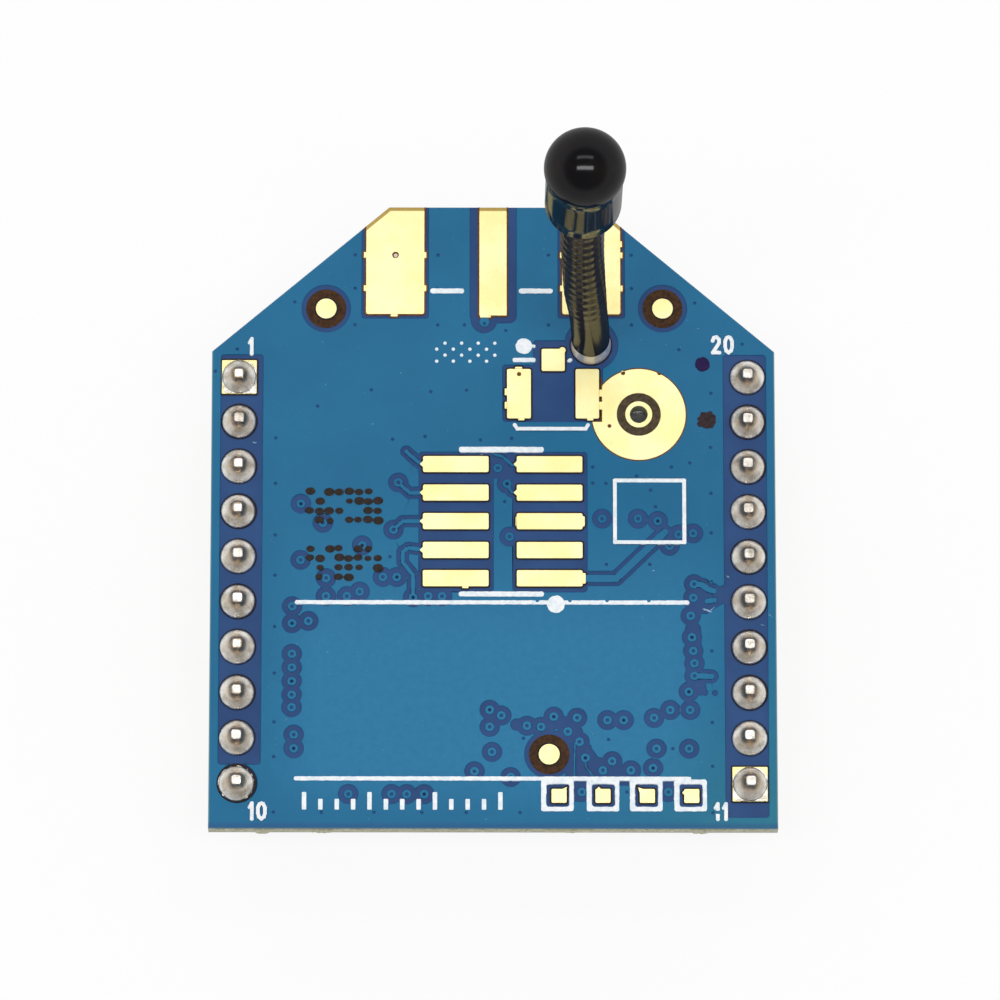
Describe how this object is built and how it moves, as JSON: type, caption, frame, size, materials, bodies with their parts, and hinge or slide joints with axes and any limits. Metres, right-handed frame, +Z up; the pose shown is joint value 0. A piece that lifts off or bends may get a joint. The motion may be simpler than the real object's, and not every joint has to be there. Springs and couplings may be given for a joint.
{
  "type": "zigbee radio module",
  "caption": "Plug-in 2.4 GHz radio module: sloped-nose blue board on two rows of square pins, with a black whip antenna and a metal can underneath.",
  "frame": {"origin": "middle of the outline seen from above, at the level of the pin tips", "axes": "+X across the pin rows towards the whip's side, +Y towards the sloped nose, +Z up along the whip"},
  "size_m": [0.0244, 0.0276, 0.0363],
  "materials": {
    "laminate": "dark blue mask over glass laminate",
    "foil": "satin teal mask over copper",
    "gold": "gold plated, bright",
    "print": "white printed film",
    "header": "moulded black, satin",
    "pin": "gold plated brass pins",
    "solder": "bright tin solder",
    "wire": "plain wire",
    "whip": "glossy black",
    "can": "tin plated sheet",
    "chip": "moulded package",
    "crystal": "metal lid on ceramic",
    "ceramic": "fired ceramic, plain",
    "resistor": "dark film on ceramic",
    "coil": "fired ceramic, grey blue",
    "leg": "tin plated legs"
  },
  "bodies": {
    "root": {"circuit_board": "laminate", "ground_foil": "foil", "back_foil": "foil", "edge_lands": "gold", "back_edge_lands": "gold", "program_lands": "gold", "connector_lands": "gold", "probe_land": "gold", "reference_dots": "gold", "jumper_lands": "gold", "square_lands": "gold", "printed_marks": "print", "left_header": "header", "right_header": "header", "left_pins": "pin", "right_pins": "pin", "left_solder": "solder", "right_solder": "solder", "whip_wire": "wire", "whip_sleeve": "whip", "whip_cap": "whip", "whip_solder": "solder", "shield_can": "can", "radio_chip": "chip", "clock_crystal": "crystal", "balun": "ceramic", "band_filter": "ceramic", "regulator": "chip", "regulator_legs": "leg", "supply_capacitor": "ceramic", "capacitors": "ceramic", "resistors": "resistor", "coils": "coil"}
  },
  "joints": []
}
